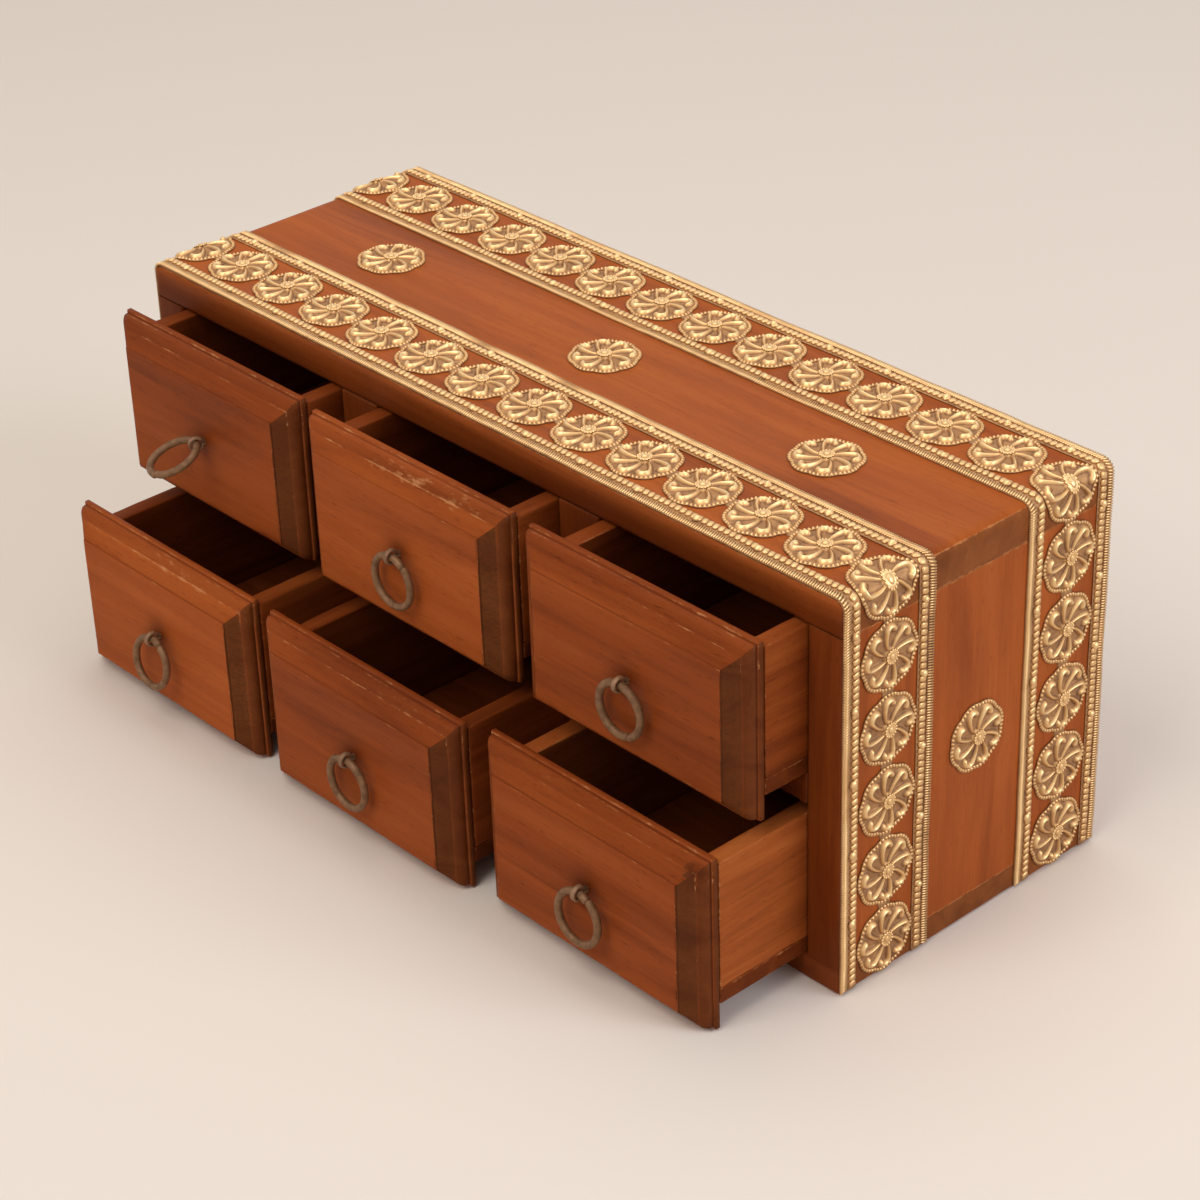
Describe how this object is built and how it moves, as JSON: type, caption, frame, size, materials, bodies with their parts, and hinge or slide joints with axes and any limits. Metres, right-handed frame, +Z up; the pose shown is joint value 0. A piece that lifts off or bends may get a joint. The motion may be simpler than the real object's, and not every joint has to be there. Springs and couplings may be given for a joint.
{
  "type": "small chest of drawers",
  "caption": "Table-top wooden chest with two rows of overlay drawers on ring pulls, and bands of stamped brass rosettes running over its top and sides.",
  "frame": {"origin": "middle of the case's underside", "axes": "+X to the right seen from the front, drawers open towards -Y, +Z up"},
  "size_m": [0.3056, 0.1606, 0.1288],
  "materials": {
    "case_wood": "oiled hardwood, satin, worn edges",
    "front_wood": "oiled hardwood, satin, worn arrises",
    "drawer_wood": "plain sawn hardwood, dull",
    "brass": "stamped sheet, brown patina in the hollows",
    "ring_iron": "browned wire, dull",
    "pin_iron": "browned flat wire, dull"
  },
  "bodies": {
    "case": {"case_top": "case_wood", "case_bottom": "case_wood", "case_left_side": "case_wood", "case_right_side": "case_wood", "case_back": "case_wood", "case_shelf": "case_wood", "upper_left_divider": "case_wood", "upper_right_divider": "case_wood", "lower_left_divider": "case_wood", "lower_right_divider": "case_wood", "front_outer_border": "brass", "front_inner_border": "brass", "rear_inner_border": "brass", "rear_outer_border": "brass", "front_rosette_chain": "brass", "rear_rosette_chain": "brass", "brass_medallions": "brass", "brass_tacks": "brass"},
    "upper_left_drawer": {"upper_left_drawer_front": "front_wood", "upper_left_drawer_left_side": "drawer_wood", "upper_left_drawer_right_side": "drawer_wood", "upper_left_drawer_back": "drawer_wood", "upper_left_drawer_bottom": "drawer_wood", "upper_left_ring_pin": "pin_iron"},
    "upper_left_ring": {"upper_left_ring": "ring_iron"},
    "upper_middle_drawer": {"upper_middle_drawer_front": "front_wood", "upper_middle_drawer_left_side": "drawer_wood", "upper_middle_drawer_right_side": "drawer_wood", "upper_middle_drawer_back": "drawer_wood", "upper_middle_drawer_bottom": "drawer_wood", "upper_middle_ring_pin": "pin_iron"},
    "upper_middle_ring": {"upper_middle_ring": "ring_iron"},
    "upper_right_drawer": {"upper_right_drawer_front": "front_wood", "upper_right_drawer_left_side": "drawer_wood", "upper_right_drawer_right_side": "drawer_wood", "upper_right_drawer_back": "drawer_wood", "upper_right_drawer_bottom": "drawer_wood", "upper_right_ring_pin": "pin_iron"},
    "upper_right_ring": {"upper_right_ring": "ring_iron"},
    "lower_left_drawer": {"lower_left_drawer_front": "front_wood", "lower_left_drawer_left_side": "drawer_wood", "lower_left_drawer_right_side": "drawer_wood", "lower_left_drawer_back": "drawer_wood", "lower_left_drawer_bottom": "drawer_wood", "lower_left_ring_pin": "pin_iron"},
    "lower_left_ring": {"lower_left_ring": "ring_iron"},
    "lower_middle_drawer": {"lower_middle_drawer_front": "front_wood", "lower_middle_drawer_left_side": "drawer_wood", "lower_middle_drawer_right_side": "drawer_wood", "lower_middle_drawer_back": "drawer_wood", "lower_middle_drawer_bottom": "drawer_wood", "lower_middle_ring_pin": "pin_iron"},
    "lower_middle_ring": {"lower_middle_ring": "ring_iron"},
    "lower_right_drawer": {"lower_right_drawer_front": "front_wood", "lower_right_drawer_left_side": "drawer_wood", "lower_right_drawer_right_side": "drawer_wood", "lower_right_drawer_back": "drawer_wood", "lower_right_drawer_bottom": "drawer_wood", "lower_right_ring_pin": "pin_iron"},
    "lower_right_ring": {"lower_right_ring": "ring_iron"}
  },
  "joints": [
    {"name": "upper_left_slide", "type": "slide", "parent": "case", "child": "upper_left_drawer", "axis": [0, -1, 0], "range_m": [-0.0126, 0.0624]},
    {"name": "upper_left_ring_swing", "type": "hinge", "parent": "upper_left_drawer", "child": "upper_left_ring", "pos_m": [-0.10118, -0.0787, 0.0897], "axis": [-0.9135, 0.4067, 0], "range_deg": [-40, 86]},
    {"name": "upper_middle_slide", "type": "slide", "parent": "case", "child": "upper_middle_drawer", "axis": [0, -1, 0], "range_m": [-0.0147, 0.0603]},
    {"name": "upper_middle_ring_swing", "type": "hinge", "parent": "upper_middle_drawer", "child": "upper_middle_ring", "pos_m": [-0.00335, -0.0808, 0.0897], "axis": [-1, 0, 0], "range_deg": [-5, 185]},
    {"name": "upper_right_slide", "type": "slide", "parent": "case", "child": "upper_right_drawer", "axis": [0, -1, 0], "range_m": [-0.0154, 0.0596]},
    {"name": "upper_right_ring_swing", "type": "hinge", "parent": "upper_right_drawer", "child": "upper_right_ring", "pos_m": [0.09448, -0.0815, 0.0897], "axis": [-1, 0, 0], "range_deg": [-5, 185]},
    {"name": "lower_left_slide", "type": "slide", "parent": "case", "child": "lower_left_drawer", "axis": [0, -1, 0], "range_m": [-0.0369, 0.0381]},
    {"name": "lower_left_ring_swing", "type": "hinge", "parent": "lower_left_drawer", "child": "lower_left_ring", "pos_m": [-0.10118, -0.103, 0.0295], "axis": [-1, 0, 0], "range_deg": [-13, 177]},
    {"name": "lower_middle_slide", "type": "slide", "parent": "case", "child": "lower_middle_drawer", "axis": [0, -1, 0], "range_m": [-0.0369, 0.0381]},
    {"name": "lower_middle_ring_swing", "type": "hinge", "parent": "lower_middle_drawer", "child": "lower_middle_ring", "pos_m": [-0.00335, -0.103, 0.0295], "axis": [-1, 0, 0], "range_deg": [-5, 185]},
    {"name": "lower_right_slide", "type": "slide", "parent": "case", "child": "lower_right_drawer", "axis": [0, -1, 0], "range_m": [-0.033, 0.042]},
    {"name": "lower_right_ring_swing", "type": "hinge", "parent": "lower_right_drawer", "child": "lower_right_ring", "pos_m": [0.09448, -0.0991, 0.0295], "axis": [-1, 0, 0], "range_deg": [-8, 182]}
  ]
}
